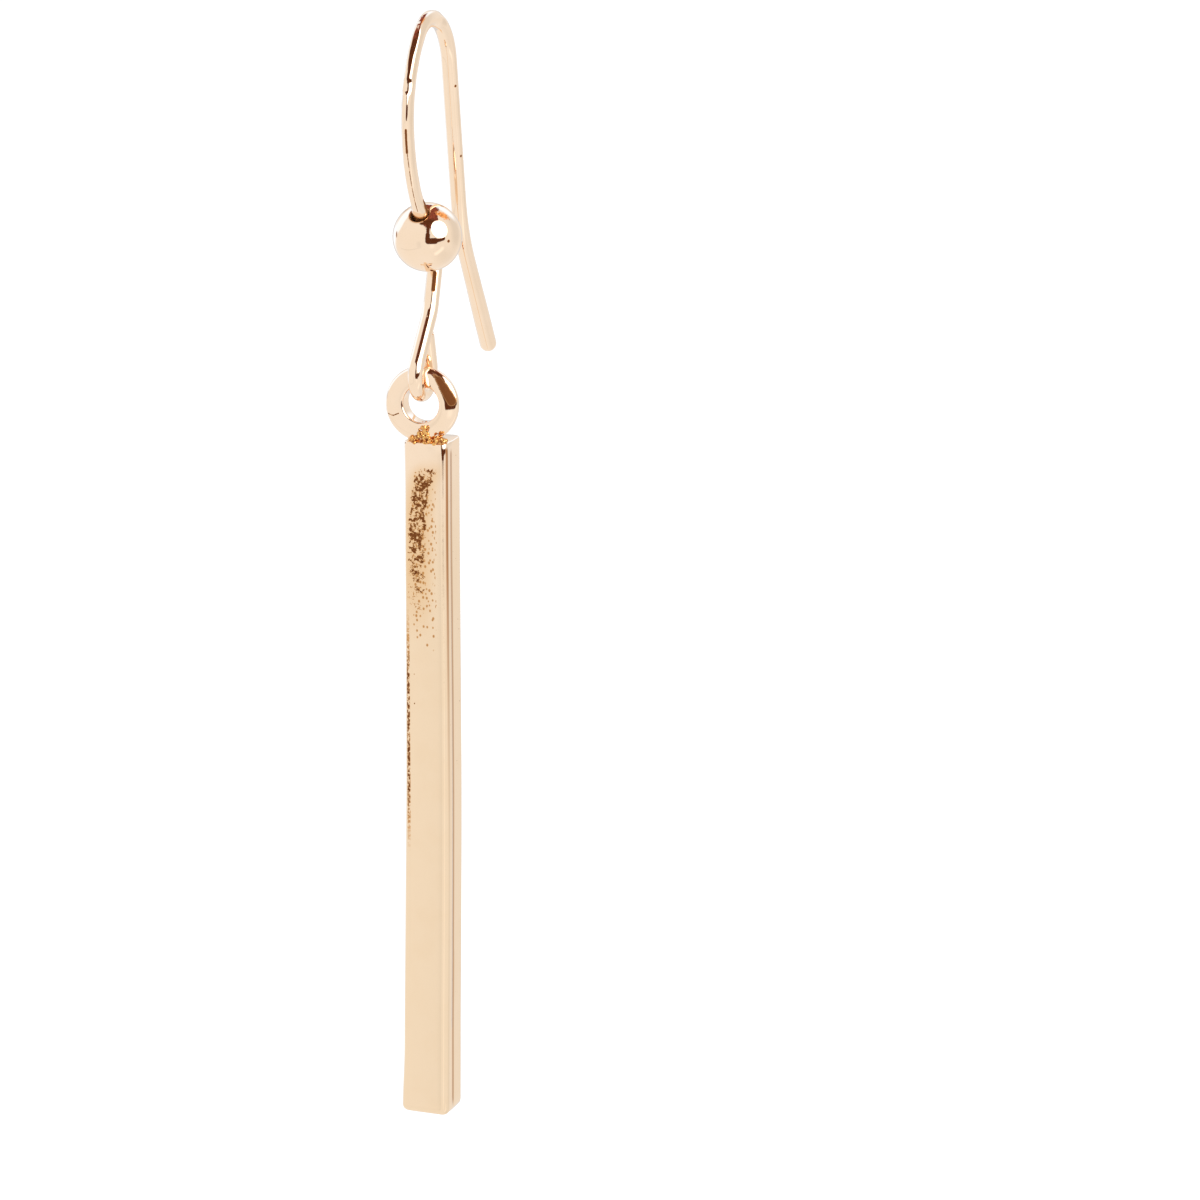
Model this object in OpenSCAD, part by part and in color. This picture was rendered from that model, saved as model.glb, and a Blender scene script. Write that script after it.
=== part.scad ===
// Bar earring: a square bar with a ring soldered on its top, hung from a ball hook.
// Z is up. The origin is the top of the hook's bend, on the centreline of its wire.
// The hook lies in the YZ plane, and the bar's front faces -Y.

/* [Ear hook] */
// Height from the top of the bend to the bottom of the eye, along the wire's centreline
hook_h = 16.6; // [15.5:0.1:18]
// Diameter of the round wire
wire_d = 0.7; // [0.62:0.02:0.78]
// Width of the forged front of the hook, seen from its side
forged_w = 0.78; // [0.7:0.02:0.9]
// Thickness of the forged front of the hook
forged_t = 0.52; // [0.42:0.02:0.6]
// Radius that each forged face is domed to
forged_dome_r = 0.6; // [0.5:0.05:1]
// Angle of the bend behind its top that is still forged
forged_back_angle = 24; // [10:1:40]
// Inside width of the eye at the foot of the hook
eye_hole_d = 1.2; // [1.1:0.05:1.4]

/* [Bead] */
// Diameter of the bead
bead_d = 3.1; // [2.6:0.1:3.4]
// Gap between the wire and the bead's bore, all round
bead_clearance = 0.03; // [0.02:0.01:0.08]
// Straight wire that shows beyond the bead's bore, both ends together
bead_lead = 0.3; // [0.2:0.05:0.6]
// Distance that the bead slides past the end of the straight wire, over the next bend
bead_slide = 0.1; // [0:0.02:0.14]

/* [Ring] */
// Diameter of the ring's wire
ring_wire_d = 0.88; // [0.76:0.02:0.92]
// Diameter of the hole in the ring
ring_hole_d = 1.65; // [1.5:0.05:2]
// Running gap between the eye and the ring that hangs in it
hang_gap = 0.06; // [0.03:0.01:0.1]
// Depth that the ring is let into the top of the bar
ring_sink = 0.05; // [0.02:0.01:0.15]

/* [Bar] */
// Length of the bar
bar_l = 31.5; // [25:0.5:36]
// Side of the square bar at its top
bar_top_w = 2; // [1.8:0.05:2.4]
// Side of the square bar at its lower end
bar_end_w = 2.16; // [1.8:0.02:2.5]
// Radius of all the bar's edges
bar_edge_r = 0.33; // [0.2:0.01:0.45]
// Sideways distance from the ring to the middle of the bar's top
bar_top_shift = 0.23; // [0:0.01:0.35]
// Sideways distance from the ring to the middle of the bar's lower end
bar_end_shift = -0.02; // [-0.3:0.01:0.3]
// Height that the lower end rises from its right side to its left
bar_end_slant = 0.07; // [0:0.01:0.3]

/* [Solder] */
// Length of the solder along the foot of the ring
solder_l = 1.6; // [1.2:0.1:1.8]
// Height of the solder above the bar
solder_h = 0.34; // [0.2:0.02:0.45]

/* [Hidden] */
gold = [0.93, 0.79, 0.62];
wire_fn = 48;
round_fn = 96;
edge_fn = 32;

// A thin collar, this long and this much thicker, joins each length of wire to the next
collar_l = 0.04;
collar_swell = 1.02;

// Length of the ball at the tail's end between its flats, as a share of the wire
tip_share = 0.98;

// Each row is one bend and the straight wire after it: the bend's radius and the wire's
// length in mm, the bend's angle (anticlockwise is positive), and whether it is forged.
RADIUS = 0;
TURN = 1;
RUN = 2;
FORGED = 3;

eye_r = (eye_hole_d + wire_d) / 2;
bead_run = bead_d + bead_lead;

// From the top of the bend down the front, through the bead and round the eye
front_steps = [
    [0.111 * hook_h, 42, 0, true],
    [0.295 * hook_h, 51, 0, true],
    [0.416 * hook_h, 33, 0, true],
    [0, 0, bead_run, false],
    [0.036 * hook_h, -55, 0.087 * hook_h, false],
    [0.12 * hook_h, -23, 0.133 * hook_h, false],
    [eye_r, 238, 0.087 * hook_h, false],
];
BEAD_ROW = 3;
EYE_ROW = 6;

// From the top of the bend down the back to the tip of the tail
back_bend_angle = 80;
back_steps = [
    [0.163 * hook_h, -forged_back_angle, 0, true],
    [0.163 * hook_h, forged_back_angle - back_bend_angle, 0.395 * hook_h, false],
    [0.488 * hook_h, 22.5, 0.322 * hook_h, false],
];

function left_of(a) = [-sin(a), cos(a)];
function along(a) = [cos(a), sin(a)];

// Place and heading [x, y, angle] after the first n rows, drawn flat in XY
function pose_after(steps, n, start) =
    n == 0 ? start : after_step(steps[n - 1], pose_after(steps, n - 1, start));
function after_step(s, p) = after_run(s[RUN], after_bend(s[RADIUS], s[TURN], p));
function after_bend(r, turn, p) =
    let (side = sign(turn) * r, to = left_of(p[2]) - left_of(p[2] + turn))
    [p[0] + side * to[0], p[1] + side * to[1], p[2] + turn];
function after_run(l, p) = [p[0] + l * along(p[2])[0], p[1] + l * along(p[2])[1], p[2]];

front_start = [0, 0, 180];
back_start = [0, 0, 0];
bead_start = pose_after(front_steps, BEAD_ROW, front_start);
bead_at = after_run(bead_run - bead_d / 2 + bead_slide, bead_start);
eye_start = pose_after(front_steps, EYE_ROW, front_start);
tail_end = pose_after(back_steps, len(back_steps), back_start);
eye_centre = [eye_start[0], eye_start[1]] + eye_r * left_of(eye_start[2]);

// The ring hangs on the bottom of the eye
ring_y = eye_centre[0];
ring_r = (ring_hole_d + ring_wire_d) / 2;
ring_z = eye_centre[1] - eye_r + wire_d / 2 + hang_gap - ring_hole_d / 2;

// The ring stands flush with the bar's front
bar_y = ring_y + (bar_top_w - ring_wire_d) / 2;
bar_top_z = ring_z - ring_r - ring_wire_d / 2 + ring_sink;

// Stands a shape that is drawn flat in XY up in the YZ plane
module upright() { rotate([90, 0, 90]) children(); }

// Turns what is drawn along +Y to a place and heading
module at_pose(p) { translate([p[0], p[1], 0]) rotate([0, 0, p[2] - 90]) children(); }

module round_section(swell) { circle(d = wire_d * swell, $fn = wire_fn); }

module forged_section(swell) {
    dome_r = forged_dome_r * swell;
    dome_at = dome_r - forged_t * swell / 2;
    intersection() {
        circle(d = forged_w * swell, $fn = wire_fn);
        translate([0, dome_at]) circle(r = dome_r, $fn = round_fn);
        translate([0, -dome_at]) circle(r = dome_r, $fn = round_fn);
    }
}

module section(forged, swell = 1) {
    if (forged) forged_section(swell);
    else round_section(swell);
}

module straight(l, center = false) {
    rotate([-90, 0, 0]) linear_extrude(l, center = center) children();
}

module collar(forged_before, forged_after) {
    straight(collar_l, center = true) {
        section(forged_before, collar_swell);
        section(forged_after, collar_swell);
    }
}

// One row's bend, which starts at the origin along +Y
module bend(s) {
    angle = abs(s[TURN]);
    translate([-sign(s[TURN]) * s[RADIUS], 0, 0])
        rotate([0, 0, s[TURN] > 0 ? 0 : 180 - angle])
            rotate_extrude(angle = angle, $fn = round_fn)
                translate([s[RADIUS], 0]) section(s[FORGED]);
}

module after_turn(s) {
    r = sign(s[TURN]) * s[RADIUS];
    translate([-r, 0, 0]) rotate([0, 0, s[TURN]]) translate([r, 0, 0]) children();
}

// Draws the rows of steps one after another, from the origin along +Y
module wire(steps, i = 0) {
    if (i < len(steps)) {
        s = steps[i];
        if (s[RADIUS] > 0) bend(s);
        after_turn(s) {
            if (s[RUN] > 0) straight(s[RUN]) section(s[FORGED]);
            if (s[RUN] > 0 && s[RADIUS] > 0) collar(s[FORGED], s[FORGED]);
            if (i + 1 < len(steps))
                translate([0, s[RUN], 0]) collar(s[FORGED], steps[i + 1][FORGED]);
            translate([0, s[RUN], 0]) wire(steps, i + 1);
        }
    }
}

// The tail's round end, with a small flat burnished on it
module tip() {
    intersection() {
        rotate([-90, 0, 0]) sphere(d = wire_d * collar_swell, $fn = wire_fn);
        straight(tip_share * wire_d, center = true) circle(d = 2 * wire_d, $fn = wire_fn);
    }
}

module ear_hook() {
    color(gold) upright() {
        at_pose(front_start) wire(front_steps);
        at_pose(back_start) wire(back_steps);
        at_pose(back_start) collar(true, true);
        at_pose(tail_end) tip();
    }
}

module bead() {
    color(gold) upright() at_pose(bead_at) rotate([-90, 0, 0])
        difference() {
            sphere(d = bead_d, $fn = round_fn);
            cylinder(d = wire_d + 2 * bead_clearance, h = 2 * bead_d, center = true, $fn = wire_fn);
        }
}

module ring() {
    translate([0, ring_y, ring_z]) rotate([90, 0, 0])
        rotate_extrude($fn = round_fn)
            translate([ring_r, 0]) circle(d = ring_wire_d, $fn = wire_fn);
}

// One ball in each corner, hulled, gives a tapered square bar with rounded edges
module bar() {
    top = bar_top_w / 2 - bar_edge_r;
    end = bar_end_w / 2 - bar_edge_r;
    hull()
        for (x = [-1, 1], y = [-1, 1]) {
            translate([bar_top_shift + x * top, bar_y + y * top, bar_top_z - bar_edge_r])
                sphere(r = bar_edge_r, $fn = edge_fn);
            translate([bar_end_shift + x * end, bar_y + y * end,
                       bar_top_z - bar_l + bar_edge_r + bar_end_slant * (1 - x) / 2])
                sphere(r = bar_edge_r, $fn = edge_fn);
        }
}

// Lumps of solder that fill the foot of the ring
module solder() {
    half = solder_l / 2 - solder_h;
    for (lump = [[-1, 0.95], [0.1, 1], [1, 0.85]])
        translate([lump[0] * half, ring_y + 0.04, bar_top_z])
            sphere(r = solder_h * lump[1], $fn = edge_fn);
}

module bar_drop() {
    color(gold) {
        ring();
        bar();
        solder();
    }
}

ear_hook();
bead();
bar_drop();
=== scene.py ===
"""Bar earring: a square bar on a soldered ring, hung from a ball hook, in a small photo studio.

Lengths in this file are millimetres until a mesh is finished, which scales it to metres. The
origin is the top of the hook's bend, +Z is up and -Y is the front.
"""

from __future__ import annotations

import logging
import math
import random
from collections.abc import Callable, Sequence
from dataclasses import dataclass, field, replace
from enum import Enum

import bmesh
import bpy
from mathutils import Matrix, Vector, noise


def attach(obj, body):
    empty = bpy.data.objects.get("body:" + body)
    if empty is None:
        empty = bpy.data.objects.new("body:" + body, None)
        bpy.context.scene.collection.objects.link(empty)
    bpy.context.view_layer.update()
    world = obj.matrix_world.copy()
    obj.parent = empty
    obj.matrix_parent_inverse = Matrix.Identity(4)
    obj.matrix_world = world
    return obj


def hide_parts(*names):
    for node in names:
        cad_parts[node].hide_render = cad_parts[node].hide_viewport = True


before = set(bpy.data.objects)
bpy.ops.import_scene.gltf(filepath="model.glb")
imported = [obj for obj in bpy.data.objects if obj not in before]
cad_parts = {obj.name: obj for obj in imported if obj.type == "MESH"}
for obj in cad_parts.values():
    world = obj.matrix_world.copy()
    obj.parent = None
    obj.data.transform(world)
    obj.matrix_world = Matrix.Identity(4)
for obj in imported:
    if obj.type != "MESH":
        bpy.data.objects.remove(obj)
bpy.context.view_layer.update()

LOG = logging.getLogger("bar_earring")
MM = 0.001
# points this close together, in millimetres, are one point
SAME_PLACE = 2e-5
# the share of a section that closes a pole
NEARLY_NOTHING = 1e-4
# how strongly the polish bends the light, and the depth in millimetres of its bumps
BUMP_STRENGTH = 0.35
BUMP_DEPTH = 0.006

Colour = tuple[float, float, float]
Point = tuple[float, float, float]
# where something starts and where it is whole
Ramp = tuple[float, float]
# where something starts, where it is whole, where it begins to end and where it has ended
Band = tuple[float, float, float, float]
Rows = tuple[tuple[float, float], ...]
Shape = Callable[[float, float], Vector]
Piece = bpy.types.Object
BMesh = bmesh.types.BMesh
Node = bpy.types.Node
NodeTree = bpy.types.NodeTree
Socket = bpy.types.NodeSocket


class Body(str, Enum):
    """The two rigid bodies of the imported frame."""

    HOOK = "hook"
    DROP = "drop"


class Slot(str, Enum):
    """The record's material slots."""

    HOOK = "hook_gold"
    BEAD = "bead_gold"
    BAR = "bar_gold"


# Small numbers


def smooth(low: float, high: float, x: float) -> float:
    """Smooth step from 0 at low to 1 at high.

    Args:
        low: Where the step starts.
        high: Where it ends.
        x: The place to read.

    Returns:
        The step's value from 0 to 1.
    """
    t = min(max((x - low) / (high - low), 0.0), 1.0)
    return t * t * (3.0 - 2.0 * t)


def mix(a: float, b: float, t: float) -> float:
    """Returns the value a share t of the way from a to b."""
    return a + (b - a) * t


def soft_min(a: float, b: float, k: float) -> float:
    """Smallest of two lengths, with the corner between them rounded over k."""
    h = max(k - abs(a - b), 0.0) / k
    return min(a, b) - h * h * k / 4.0


def spread(start: float, end: float, step: float) -> list[float]:
    """Even stations from start to end, both kept, no further apart than step."""
    count = max(1, math.ceil(abs(end - start) / step))
    return [mix(start, end, i / count) for i in range(count + 1)]


def turns(count: int) -> list[float]:
    """Angles round a full turn in count even steps, both ends kept."""
    return [2 * math.pi * i / count for i in range(count + 1)]


def eased(rows: Rows, x: float) -> float:
    """Value at x of a curve that eases from each (place, value) row to the next.

    Args:
        rows: The curve's places and values, in order.
        x: The place to read.

    Returns:
        The curve's value, which stays the last row's beyond it.
    """
    for (a, low), (b, high) in zip(rows, rows[1:]):
        if x < b:
            return mix(low, high, smooth(a, b, x))
    return rows[-1][1]


def arc(radius: float, apex: float, off: float) -> float:
    """Distance to a big arc, from a place that its apex is a given distance from.

    Args:
        radius: The arc's radius.
        apex: Distance to its apex.
        off: Angle between the direction to the apex and the one that is read.

    Returns:
        The distance in that direction.
    """
    back = apex - radius
    return back * math.cos(off) + math.sqrt(max(radius**2 - (back * math.sin(off)) ** 2, 0.0))


# Meshes


def added(name: str, data: bpy.types.ID) -> Piece:
    """Adds an object with this data to the scene and returns it.

    Args:
        name: The object's name.
        data: Its mesh, light or camera.

    Returns:
        The object.
    """
    obj = bpy.data.objects.new(name, data)
    bpy.context.scene.collection.objects.link(obj)
    return obj


def finished(bm: BMesh, name: str) -> Piece:
    """Turns a bmesh in millimetres into a smooth-shaded object in metres.

    Args:
        bm: The mesh, which is freed.
        name: The object's name.

    Returns:
        The object, at the origin, unturned and unscaled.
    """
    bmesh.ops.remove_doubles(bm, verts=bm.verts, dist=SAME_PLACE)
    bmesh.ops.recalc_face_normals(bm, faces=bm.faces)
    bmesh.ops.scale(bm, vec=(MM, MM, MM), verts=bm.verts)
    mesh = bpy.data.meshes.new(name)
    bm.to_mesh(mesh)
    bm.free()
    mesh.shade_smooth()
    LOG.info("%s has %d faces", name, len(mesh.polygons))
    return added(name, mesh)


def skin(columns: Sequence[float], rows: Sequence[float], shape: Shape) -> BMesh:
    """A closed skin, made from a grid whose points are moved onto a surface.

    Args:
        columns: Stations round the surface, where the last meets the first.
        rows: Stations along it.
        shape: The surface's point at a column's and a row's station.

    Returns:
        The bmesh in millimetres, with the seam still open.
    """
    bm = bmesh.new()
    nx, ny = len(columns) - 1, len(rows) - 1
    bmesh.ops.create_grid(bm, x_segments=nx, y_segments=ny, size=0.5)
    for v in bm.verts:
        i = round((v.co.x + 0.5) * nx)
        j = round((v.co.y + 0.5) * ny)
        v.co = shape(columns[i], rows[j])
    return bm


def fused(bm: BMesh, voxel: float) -> BMesh:
    """Runs overlapping closed shells together into one skin.

    Args:
        bm: The shells, in millimetres, which are freed.
        voxel: How fine the skin is.

    Returns:
        The skin as a new bmesh.
    """
    mesh = bpy.data.meshes.new("lumps")
    bm.to_mesh(mesh)
    bm.free()
    lumps = added("lumps", mesh)
    flow = lumps.modifiers.new("flow", "REMESH")
    flow.mode, flow.voxel_size = "VOXEL", voxel
    skin_mesh = bmesh.new()
    skin_mesh.from_object(lumps, bpy.context.evaluated_depsgraph_get())
    bpy.data.objects.remove(lumps)
    bpy.data.meshes.remove(mesh)
    return skin_mesh


# The hook's wire


@dataclass(frozen=True)
class Bend:
    """One bend of the wire and the straight run after it."""

    radius: float
    turn: float
    run: float = 0.0


@dataclass(frozen=True)
class WireSizes:
    """Sizes of the ear hook."""

    height: float = 16.6
    wire_r: float = 0.35
    forged_w: float = 0.78
    forged_t: float = 0.52
    # the bend behind the top: its radius as a share of the height, and the angle that is forged
    back_bend: float = 0.163
    forged_back_angle: float = 24.0
    dome_r: float = 0.6
    ridge_r: float = 0.035
    ridge_shift: float = -0.05
    # the land stands no further out than this beyond the ridge
    land_proud: float = 0.03
    # the forging fades in and out over these lengths, from its two ends
    forged_in: Ramp = (-0.45, 0.1)
    forged_out: Ramp = (-0.5, 0.3)
    # depth and fineness of the hammer's marks
    hammered: Rows = ((0.007, 1.6), (0.004, 5.0))
    # the hammered land on the front turns, curves and rises as it comes down: in each row, the
    # length from the top, and the angle, radius or height there
    land_turn: Rows = (
        (1.1, -10.0), (1.7, 19.0), (2.8, 20.0), (3.1, 22.0), (3.6, 22.0), (3.75, 37.0),
        (4.15, 37.0), (4.27, 4.0), (5.3, 4.0), (5.6, 20.0), (6.6, 20.0), (7.2, 11.0),
    )
    land_r: Rows = (
        (0.5, 0.39), (1.3, 2.2), (3.55, 2.2), (3.75, 0.5),
        (5.3, 0.5), (5.6, 2.2), (6.7, 2.2), (7.4, 0.39),
    )
    land_rise: Rows = ((2.2, 0.0), (3.6, 0.04), (6.8, 0.03), (7.4, 0.0))
    eye_r: float = 0.95
    bead_run: float = 3.4
    bead_slide: float = 0.1
    tail_swell: float = 0.03
    # the swelling grows between these lengths from the tail's end
    tail_l: Ramp = (5.3, 1.0)
    crown_flat: float = 0.035
    crown_l: float = 1.1
    # columns round the wire, and the step of the stations along each part of it
    columns: int = 64
    tip_step: float = 0.12
    tail_step: float = 0.16
    limb_step: float = 0.25
    forged_step: float = 0.09
    neck_step: float = 0.11
    # the finer stations start this far behind the top
    forged_start: float = -2.9
    forged_past: float = 0.5
    # the eye's end is rounded off: length past the end and share of the section
    end_round: Rows = ((0.03, 0.93), (0.045, 0.8), (0.045, NEARLY_NOTHING))

    def front(self) -> tuple[Bend, ...]:
        """Bends from the top down the front and round the eye.

        Returns:
            The bends, in order.
        """
        h = self.height
        return (
            Bend(0.111 * h, 42),
            Bend(0.295 * h, 51),
            Bend(0.416 * h, 33),
            Bend(0, 0, self.bead_run),
            Bend(0.036 * h, -55, 0.087 * h),
            Bend(0.12 * h, -23, 0.133 * h),
            Bend(self.eye_r, 238, 0.087 * h),
        )

    def back(self) -> tuple[Bend, ...]:
        """Bends from the top down the back to the tail's tip.

        Returns:
            The bends, in order.
        """
        h = self.height
        return (
            Bend(self.back_bend * h, -80, 0.395 * h),
            Bend(0.488 * h, 22.5, 0.322 * h),
        )


@dataclass(frozen=True)
class Pose:
    """A place on the wire's centreline, with its heading in the YZ plane."""

    y: float
    z: float
    heading: float

    def moved(self, length: float, curvature: float) -> Pose:
        """The pose a length further on, where the heading turns by curvature a millimetre.

        Args:
            length: How far on.
            curvature: Radians for a millimetre, 0 where it is straight.

        Returns:
            The pose there.
        """
        turn = length * curvature
        if abs(turn) < 1e-9:
            return Pose(
                self.y + length * math.cos(self.heading),
                self.z + length * math.sin(self.heading),
                self.heading,
            )
        end = self.heading + turn
        return Pose(
            self.y + (math.sin(end) - math.sin(self.heading)) / curvature,
            self.z - (math.cos(end) - math.cos(self.heading)) / curvature,
            end,
        )


class Path:
    """A chain of bends and runs that can be read at any length along it."""

    def __init__(self, heading: float, bends: Sequence[Bend]) -> None:
        """Lays the chain out.

        Args:
            heading: Heading at the start, in degrees.
            bends: The chain's bends.
        """
        self.starts: list[tuple[float, float, Pose]] = []
        self.ends: list[float] = []
        pose, at = Pose(0.0, 0.0, math.radians(heading)), 0.0
        for bend in bends:
            turn = math.radians(bend.turn)
            bent = bend.radius * abs(turn)
            for length, curvature in ((bent, turn / bent if bent else 0.0), (bend.run, 0.0)):
                if length > 0:
                    self.starts.append((at, curvature, pose))
                    pose, at = pose.moved(length, curvature), at + length
            self.ends.append(at)
        self.length = at

    def at(self, s: float) -> Pose:
        """The pose at length s.

        Args:
            s: Length from the chain's start.

        Returns:
            The pose there.
        """
        start, curvature, pose = next(
            (row for row in reversed(self.starts) if row[0] <= s + 1e-9), self.starts[0]
        )
        return pose.moved(s - start, curvature)


class EarHook:
    """The ear hook: one wire, forged flatter at the front."""

    def __init__(self, sizes: WireSizes) -> None:
        """Keeps the sizes and lays out the wire's path.

        Args:
            sizes: The wire's sizes.
        """
        self.sizes = sizes
        self.front = Path(180.0, sizes.front())
        self.back = Path(0.0, sizes.back())
        # the first three bends are forged, and the bead is threaded on the run after them
        self.forged_front, self.bead_end = self.front.ends[2:4]
        forged_angle = math.radians(sizes.forged_back_angle)
        self.forged_back = sizes.back_bend * sizes.height * forged_angle

    def pose(self, s: float) -> tuple[Pose, Vector]:
        """Pose and outward direction at s, which is positive down the front.

        Args:
            s: Length from the top of the bend, negative down the back.

        Returns:
            The pose, and the in-plane direction away from the bend's inside.
        """
        path, side = (self.front, 1.0) if s >= 0 else (self.back, -1.0)
        pose = path.at(abs(s))
        return pose, Vector((0.0, side * math.sin(pose.heading), -side * math.cos(pose.heading)))

    def section(self, s: float, t: float) -> float:
        """Distance from the centreline to the wire's face, at length s and angle t.

        Args:
            s: Length from the top of the bend, negative down the back.
            t: Angle round the wire, from the outward side.

        Returns:
            The distance.
        """
        sizes = self.sizes
        dome_at = sizes.dome_r - sizes.forged_t / 2
        dome = -dome_at * abs(math.sin(t)) + math.sqrt(
            (dome_at * math.sin(t)) ** 2 - dome_at**2 + sizes.dome_r**2
        )
        turn = math.radians(eased(sizes.land_turn, s))
        ridge = sizes.forged_w / 2 + eased(sizes.land_rise, s)
        apex = ridge * math.cos(turn) + sizes.ridge_shift * math.sin(turn)
        front = sizes.forged_w / 2
        if math.cos(t) > 0:
            front = arc(eased(sizes.land_r, s), apex, t - turn)
        land = min(front, ridge + sizes.land_proud)
        forged = soft_min(dome, land, sizes.ridge_r)
        begins, whole = (at - self.forged_back for at in sizes.forged_in)
        fades, ends = (at + self.forged_front for at in sizes.forged_out)
        share = smooth(begins, whole, s) * (1.0 - smooth(fades, ends, s))
        tail = smooth(*(at - self.back.length for at in sizes.tail_l), s)
        crown = sizes.crown_flat * math.exp(-((s / sizes.crown_l) ** 2)) * max(math.cos(t), 0.0)
        place = Vector((s, math.cos(t), math.sin(t)))
        hammered = sum(deep * noise.noise(place * fine) for deep, fine in sizes.hammered) * share
        return mix(sizes.wire_r + sizes.tail_swell * tail, forged, share) - crown + hammered

    def surface(self, t: float, row: tuple[float, float]) -> Vector:
        """The wire's face at angle t and at a row of (length, share of the section).

        Args:
            t: Angle round the wire, from the outward side.
            row: Length from the top of the bend, and the share of the section there.

        Returns:
            The point.
        """
        s, share = row
        pose, out = self.pose(s)
        rho = self.section(s, t) * share
        return (
            Vector((0.0, pose.y, pose.z))
            + out * (rho * math.cos(t))
            + Vector((rho * math.sin(t), 0.0, 0.0))
        )

    def rows(self) -> list[tuple[float, float]]:
        """Stations from the tail's tip to the end of the eye, with the section's share.

        Returns:
            The rows of (length, share of the section).
        """
        sizes = self.sizes
        tip = sizes.wire_r + sizes.tail_swell
        at, end = -self.back.length, self.front.length
        # the tip is a half ball, beyond the path's end
        rows = [
            (at - tip * math.cos(a), max(math.sin(a), NEARLY_NOTHING))
            for a in spread(0, math.pi / 2, sizes.tip_step)
        ]
        for stop, step in (
            (-self.back.ends[0], sizes.tail_step),
            (sizes.forged_start, sizes.limb_step),
            (self.forged_front + sizes.forged_past, sizes.forged_step),
            (end, sizes.neck_step),
        ):
            rows += [(s, 1.0) for s in spread(at, stop, step)[1:]]
            at = stop
        return rows + [(end + past, share) for past, share in sizes.end_round]

    def wire(self) -> Piece:
        """Builds the wire."""
        return finished(skin(turns(self.sizes.columns), self.rows(), self.surface), "ear_wire")


@dataclass(frozen=True)
class BeadSizes:
    """Sizes of the drilled bead."""

    radius: float = 1.55
    bore_r: float = 0.42
    lip_r: float = 0.05
    shift: float = 0.05
    lean: float = 1.6
    roll: float = 2.0
    columns: int = 128
    lip_step: float = 0.3
    ball_step: float = 0.035
    bore_step: float = 0.25


class Bead:
    """The drilled bead on the wire."""

    def __init__(self, sizes: BeadSizes, hook: EarHook) -> None:
        """Keeps the sizes and the hook that the bead is threaded on."""
        self.sizes = sizes
        self.hook = hook

    def profile(self) -> list[tuple[float, float]]:
        """Closed half profile as (distance from the bore's axis, height along it).

        Returns:
            The profile's points, round from the lower mouth.
        """
        sizes = self.sizes
        # the lip's circle touches the ball inside and the bore outside
        lip_x = sizes.bore_r + sizes.lip_r
        lip_z = math.sqrt((sizes.radius - sizes.lip_r) ** 2 - lip_x**2)
        meets = math.atan2(lip_z, lip_x)
        top = [
            (lip_x + sizes.lip_r * math.cos(a), lip_z + sizes.lip_r * math.sin(a))
            for a in spread(meets, math.pi, sizes.lip_step)
        ]
        ball = [
            (sizes.radius * math.cos(a), sizes.radius * math.sin(a))
            for a in spread(-meets, meets, sizes.ball_step)
        ]
        low = [(x, -h) for x, h in reversed(top)]
        bore = [(sizes.bore_r, h) for h in spread(lip_z, -lip_z, sizes.bore_step)]
        return low[:-1] + ball + top[1:] + bore[1:]

    def build(self) -> Piece:
        """Builds the bead round the straight wire.

        Returns:
            The bead.
        """
        sizes, hook = self.sizes, self.hook
        at = hook.bead_end - sizes.radius + hook.sizes.bead_slide + sizes.shift
        pose = hook.front.at(hook.bead_end).moved(at - hook.bead_end, 0.0)
        # the bead hangs a little askew on its wire
        leaning = pose.heading + math.radians(sizes.lean)
        roll = math.radians(sizes.roll)
        level = math.cos(roll)
        axis = Vector((math.sin(roll), math.cos(leaning) * level, math.sin(leaning) * level))
        up = axis.cross(Vector((1.0, 0.0, 0.0))).normalized()
        side = up.cross(axis)
        centre = Vector((0.0, pose.y, pose.z))

        def shape(t: float, row: tuple[float, float]) -> Vector:
            """The bead's face at angle t and at a place of its profile."""
            r, h = row
            return centre + axis * h + (side * math.cos(t) + up * math.sin(t)) * r

        return finished(skin(turns(sizes.columns), self.profile(), shape), "drilled_bead")


# The drop


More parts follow.
